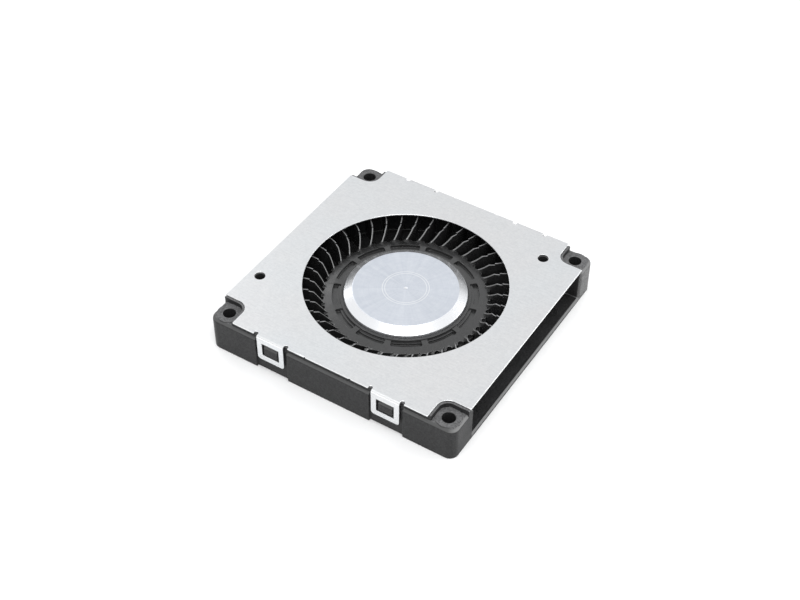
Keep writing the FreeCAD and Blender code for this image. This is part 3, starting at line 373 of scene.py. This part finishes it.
# Each material slot's maker and the values that it takes
MATERIALS = {
    "casing_plastic": (moulded_plastic, {
        "level": 0.026, "top_level": 0.12, "edge_level": 0.085, "roughness": 0.42,
        "above": EARS_ABOVE, "grain": 0.03, "gloss": 0.20, "open_level": 0.13}),
    "impeller_plastic": (moulded_plastic, {
        "level": 0.016, "top_level": 0.20, "edge_level": 0.14, "roughness": 0.28,
        "above": BLADE_TOPS_ABOVE, "beyond": BLADES_BEYOND, "grain": 0.012, "ior": 1.75}),
    "cap_plastic": (moulded_plastic, {
        "level": 0.02, "top_level": 0.03, "edge_level": 0.05, "roughness": 0.5}),
    "cover_sheet": (plated_sheet, {}),
    "cup_metal": (turned_metal, {}),
    "brass": (plain_metal, {"colour": (0.80, 0.58, 0.26, 1), "roughness": 0.3}),
    "ferrite": (plain_matter, {"colour": grey(0.05), "roughness": 0.6}),
    "shaft_steel": (plain_metal, {"colour": grey(0.72), "roughness": 0.18}),
    "clip_steel": (plain_metal, {"colour": grey(0.42), "roughness": 0.3}),
    "lamination": (laminated_steel, {}),
    "insulator_plastic": (plain_matter, {"colour": (0.72, 0.70, 0.62, 1), "roughness": 0.5}),
    "copper_wire": (wound_copper, {}),
    "board": (plain_matter, {"colour": (0.02, 0.16, 0.06, 1), "roughness": 0.3}),
    "chip_epoxy": (plain_matter, {"colour": grey(0.025), "roughness": 0.55}),
    "ceramic": (plain_matter, {"colour": (0.52, 0.38, 0.24, 1), "roughness": 0.45}),
    "tin": (plain_metal, {"colour": grey(0.70), "roughness": 0.25}),
    "bearing_steel": (plain_metal, {"colour": grey(0.70), "roughness": 0.14}),
    "cage_plastic": (plain_matter, {"colour": (0.30, 0.24, 0.15, 1), "roughness": 0.5}),
    "shield_steel": (plain_metal, {"colour": grey(0.58), "roughness": 0.3}),
}


# Pieces

def room_beside(edge):
    """Give the least clear width of the faces beside an edge, straight out from its middle."""
    start, end = (vert.co for vert in edge.verts)
    middle = (start + end) / 2
    along = (end - start).normalized()
    least = math.inf
    for face in edge.link_faces:
        for other in face.edges:
            if set(other.verts) & set(edge.verts):
                continue
            first, last = (vert.co for vert in other.verts)
            share = intersect_point_line(middle, first, last)[1]
            away = first.lerp(last, min(max(share, 0.0), 1.0)) - middle
            if abs(away.normalized().dot(along)) < STRAIGHT_OUT:
                least = min(least, away.length)
    return least


def box_round(points):
    return [[pick(point[axis] for point in points) for axis in range(3)] for pick in (min, max)]


def folded_boxes(work):
    """Give the places of the faces that fold over themselves, so that they fill more than their
    own area: a small face's box, or the short sides of a large face's turned triangles."""
    filled = {}
    for corners in work.calc_loop_triangles():
        points = [corner.vert.co for corner in corners]
        across = (points[1] - points[0]).cross(points[2] - points[0])
        filled.setdefault(corners[0].face, []).append((points, across))
    places = []
    for face, triangles in filled.items():
        area = sum(across.length for _, across in triangles) / 2
        if area - face.calc_area() < FOLD_AREA * MM * MM:
            continue
        box = box_round([vert.co for vert in face.verts])
        if max(most - least for least, most in zip(*box)) < LARGE_FACE * MM:
            places.append(box)
            continue
        for points, across in triangles:
            if across.dot(face.normal) < -TURNED_AREA * MM * MM:
                sides = ((points[at - 1], points[at]) for at in range(3))
                places.append(box_round(min(sides, key=lambda ends: (ends[0] - ends[1]).length)))
    return places


def mark_widths(work, widths):
    """Note on each sharp edge which of the widths is the first that fits it, counted from 1."""
    step = work.edges.layers.int.new("step")
    for edge in work.edges:
        if len(edge.link_faces) == 2 and edge.calc_face_angle(0) > math.radians(ROUNDED_ANGLE):
            room = room_beside(edge)
            fitting = [number for number, width in enumerate(widths, start=1)
                       if room > ROOM_PER_WIDTH * width * MM]
            edge[step] = fitting[0] if fitting else 0


def round_edges(work, widths, segments, kept):
    """Round the marked edges, apart from those in the kept boxes. A corner that a round throws
    clear of the piece goes back onto its surface."""
    surface = BVHTree.FromBMesh(work)
    low, high = box_round([vert.co for vert in work.verts])
    margin = FOLD_MARGIN * MM
    step = work.edges.layers.int["step"]
    for edge in work.edges:
        middle = (edge.verts[0].co + edge.verts[1].co) / 2
        if edge[step] and any(all(least[axis] - margin < middle[axis] < most[axis] + margin
                                  for axis in range(3)) for least, most in kept):
            edge[step] = 0
    for number, width in enumerate(widths, start=1):
        edges = [edge for edge in work.edges if edge[step] == number]
        bmesh.ops.bevel(work, geom=edges, offset=width * MM, offset_type="OFFSET",
                        segments=segments, profile=0.5, affect="EDGES", clamp_overlap=False,
                        harden_normals=False)
    for vert in work.verts:
        nearest, _, _, distance = surface.find_nearest(vert.co)
        if distance > widths[0] * MM / 2:
            vert.co = nearest
        vert.co = [min(max(vert.co[axis], low[axis]), high[axis]) for axis in range(3)]


def soften(node, widths, segments=3):
    """Stand in for a CAD node with the same piece, its sharp edges rounded where no face folds."""
    mesh = bpy.data.meshes.new(f"{node}_eased")
    clean = bmesh.new()
    clean.from_mesh(nodes[node].data)
    bmesh.ops.remove_doubles(clean, verts=clean.verts, dist=WELD_GAP * MM)
    bmesh.ops.dissolve_limit(clean, angle_limit=math.radians(FLAT_ANGLE), verts=clean.verts,
                             edges=clean.edges, use_dissolve_boundaries=False)
    mark_widths(clean, widths)
    kept = []
    for _ in range(ROUNDING_TRIES):
        work = clean.copy()
        round_edges(work, widths, segments, kept)
        work.normal_update()
        folded = folded_boxes(work)
        work.to_mesh(mesh)
        work.free()
        if not folded:
            break
        kept += folded
    clean.free()
    for name in [item.name for item in mesh.attributes if item.name in ("custom_normal", "step")]:
        mesh.attributes.remove(mesh.attributes[name])
    mesh.shade_smooth()
    mesh.set_sharp_from_angle(angle=math.radians(SHADED_ANGLE))
    piece = bpy.data.objects.new(f"{node}_eased", mesh)
    bpy.context.scene.collection.objects.link(piece)
    piece.modifiers.new("weighted", "WEIGHTED_NORMAL").keep_sharp = True
    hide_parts(node)
    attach(piece, body_of(node))
    return piece


def body_of(node):
    bodies = frame["record"]["behaviour"]["bodies"]
    return next(name for name, members in bodies.items() if node in members)


def slot_of(node):
    subparts = frame["record"]["subparts"]
    return next(item["material_slot"] for item in subparts if item["node"] == node)


def paint(thing, material):
    thing.data.materials.clear()
    thing.data.materials.append(material)


# Camera, light and stage

def place_camera():
    """Stand the camera where the object is seen as in the picture it follows."""
    azimuth, elevation, roll = (math.radians(angle) for angle in CAMERA_ANGLES)
    back = Vector((math.sin(azimuth) * math.cos(elevation),
                   -math.cos(azimuth) * math.cos(elevation),
                   math.sin(elevation)))
    right = (-back).cross(Vector((0, 0, 1))).normalized()
    up = right.cross(-back)
    turned_right = right * math.cos(roll) + up * math.sin(roll)
    turned_up = up * math.cos(roll) - right * math.sin(roll)
    data = bpy.data.cameras.new("camera")
    data.lens = CAMERA_LENS
    data.sensor_width = CAMERA_SENSOR
    data.clip_start, data.clip_end = CAMERA_CLIP
    camera = bpy.data.objects.new("camera", data)
    bpy.context.scene.collection.objects.link(camera)
    stand = Vector(CAMERA_TARGET) * MM + back * CAMERA_DISTANCE * MM
    turn = Matrix((turned_right, turned_up, back)).transposed()
    camera.matrix_world = Matrix.Translation(stand) @ turn.to_4x4()
    bpy.context.scene.camera = camera


def add_softbox(name, place, size, power):
    data = bpy.data.lights.new(name, "AREA")
    data.shape = "RECTANGLE"
    data.size, data.size_y = size
    data.energy = power
    lamp = bpy.data.objects.new(name, data)
    bpy.context.scene.collection.objects.link(lamp)
    lamp.location = place
    lamp.rotation_euler = (-Vector(place)).to_track_quat("-Z", "Y").to_euler()


def light_studio():
    """White tent, darker along the horizon behind and to the left, with three softboxes."""
    world = bpy.data.worlds.new("tent")
    bpy.context.scene.world = world
    world.use_nodes = True
    tent = Nodes(world.node_tree)
    place = tent.add("TexCoord", output="Generated")
    towards = tent.add("VectorMath", output="Value", settings={"operation": "DOT_PRODUCT"},
                       i0=place, i1=BRIGHT_SIDE)
    strength = tent.add("Mix", output="Result",
                        Factor=tent.remap(tent.along(place, "Z"), *TOP_FADE),
                        A=tent.remap(towards, *BRIGHT_SIDE_FADE, *LOWER_STRENGTH),
                        B=TOP_STRENGTH)
    background = world.node_tree.nodes["Background"]
    tent.feed(background.inputs["Strength"], strength)
    tent.feed(background.inputs["Color"], TENT_COLOUR)
    for name, (spot, size, power) in SOFTBOXES.items():
        add_softbox(name, spot, size, power)


def lay_floor():
    """Pale floor that keeps the object's shadow."""
    mesh = bpy.data.meshes.new("floor")
    corners = [(x * FLOOR_REACH, y * FLOOR_REACH, 0)
               for x, y in ((-1, -1), (1, -1), (1, 1), (-1, 1))]
    mesh.from_pydata(corners, [], [(0, 1, 2, 3)])
    floor = bpy.data.objects.new("floor", mesh)
    bpy.context.scene.collection.objects.link(floor)
    floor.location.z = -FLOOR_DROP * MM
    shader = Shader("floor_paper", Roughness=0.9)
    grain = shader.noise(shader.place(), 60.0, detail=2.0)
    shader.set(Base_Color=shader.colours(grain, grey(0.93), grey(0.96)))
    paint(floor, shader.material)


def build():
    materials = {name: make(name, **values) for name, (make, values) in MATERIALS.items()}
    for node, rounding in ROUNDINGS.items():
        paint(soften(node, **rounding), materials[slot_of(node)])
    for node, source in nodes.items():
        if node not in ROUNDINGS:
            for slot in source.material_slots:
                slot.link = "OBJECT"
                slot.material = materials[slot_of(node)]
    place_camera()
    light_studio()
    lay_floor()
    bpy.context.scene.view_settings.view_transform = "Standard"


build()
